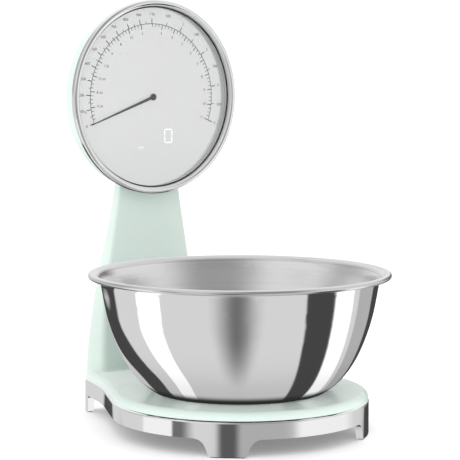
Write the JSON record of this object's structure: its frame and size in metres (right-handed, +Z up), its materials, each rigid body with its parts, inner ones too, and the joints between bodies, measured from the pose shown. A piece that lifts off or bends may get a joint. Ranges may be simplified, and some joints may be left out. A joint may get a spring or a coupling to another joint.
{
  "type": "kitchen scale",
  "caption": "Retro kitchen scale: footed bright base, pastel platform and column, round upright dial with pointer and lit reading, and a lift-off steel mixing bowl.",
  "frame": {"origin": "on the table under the middle of the whole outline", "axes": "+Z up, the dial and the bowl face -Y, the column stands at +Y"},
  "size_m": [0.254, 0.282, 0.3636],
  "materials": {
    "bright_frame": "polished",
    "rubber": "matte",
    "dark_plastic": "matte",
    "screw_steel": "plain",
    "bar_aluminium": "machined",
    "sheet_steel": "zinc plated",
    "spring_steel": "nickel plated",
    "battery_skin": "printed sleeve",
    "circuit_board": "solder mask",
    "mint_body": "gloss enamel",
    "bright_ring": "polished",
    "clear_lens": "clear",
    "dial_plate": "silvered, satin",
    "lit_white": "lit from behind",
    "display_black": "moulded",
    "pointer_steel": "dark polished",
    "button_plastic": "gloss",
    "bowl_steel": "polished outside, satin inside"
  },
  "bodies": {
    "base": {"amplifier_board": "circuit_board", "amplifier_posts": "dark_plastic", "base_frame": "bright_frame", "base_plate": "dark_plastic", "base_screws": "screw_steel", "battery_1": "battery_skin", "battery_2": "battery_skin", "battery_3": "battery_skin", "battery_box": "dark_plastic", "battery_contacts": "spring_steel", "battery_springs": "spring_steel", "cell_screws_lower": "screw_steel", "cell_spacer_lower": "bar_aluminium", "foot_pad_front_left": "rubber", "foot_pad_front_right": "rubber", "foot_pad_rear_left": "rubber", "foot_pad_rear_right": "rubber", "load_cell": "bar_aluminium"},
    "weighed_body": {"body_shell": "mint_body", "rear_cover": "mint_body", "rear_cover_screws": "screw_steel", "weighing_bracket": "sheet_steel", "bracket_screws": "screw_steel", "cell_spacer_upper": "bar_aluminium", "cell_screws_upper": "screw_steel", "bezel_ring": "bright_ring", "dial_lens": "clear_lens", "lens_gasket": "rubber", "dial_face": "dial_plate", "display_figure": "lit_white", "display_unit_mark": "lit_white", "display_module": "display_black", "display_board": "circuit_board", "display_board_screws": "screw_steel", "motor_case": "dark_plastic", "tact_switches": "display_black"},
    "pointer": {"pointer_hand": "pointer_steel", "pointer_hub": "pointer_steel", "pointer_shaft": "pointer_steel"},
    "tare_button": {"tare_button": "button_plastic"},
    "unit_button": {"unit_button": "button_plastic"},
    "battery_door": {"battery_door": "dark_plastic"},
    "bowl": {"bowl": "bowl_steel"}
  },
  "joints": [
    {"name": "weigh_slide", "type": "slide", "parent": "base", "child": "weighed_body", "axis": [0, 0, 1], "range_m": [-0.0005, 0], "stiffness_N_per_m": 120000, "springref_m": 0.0002, "deforming": ["load_cell"]},
    {"name": "pointer_turn", "type": "hinge", "parent": "weighed_body", "child": "pointer", "pos_m": [0, 0.1142, 0.2783], "axis": [0, 1, 0], "range_deg": [0, 220]},
    {"name": "tare_press", "type": "slide", "parent": "weighed_body", "child": "tare_button", "axis": [0, -1, 0], "range_m": [0, 0.001], "stiffness_N_per_m": 1500, "springref_m": -0.0005},
    {"name": "unit_press", "type": "slide", "parent": "weighed_body", "child": "unit_button", "axis": [0, -1, 0], "range_m": [0, 0.001], "stiffness_N_per_m": 1500, "springref_m": -0.0005},
    {"name": "battery_door_slide", "type": "slide", "parent": "base", "child": "battery_door", "axis": [0, 1, 0], "range_m": [0, 0.045]},
    {"name": "bowl_lift", "type": "slide", "parent": "weighed_body", "child": "bowl", "axis": [0, 0, 1], "range_m": [0, 0.05]}
  ]
}
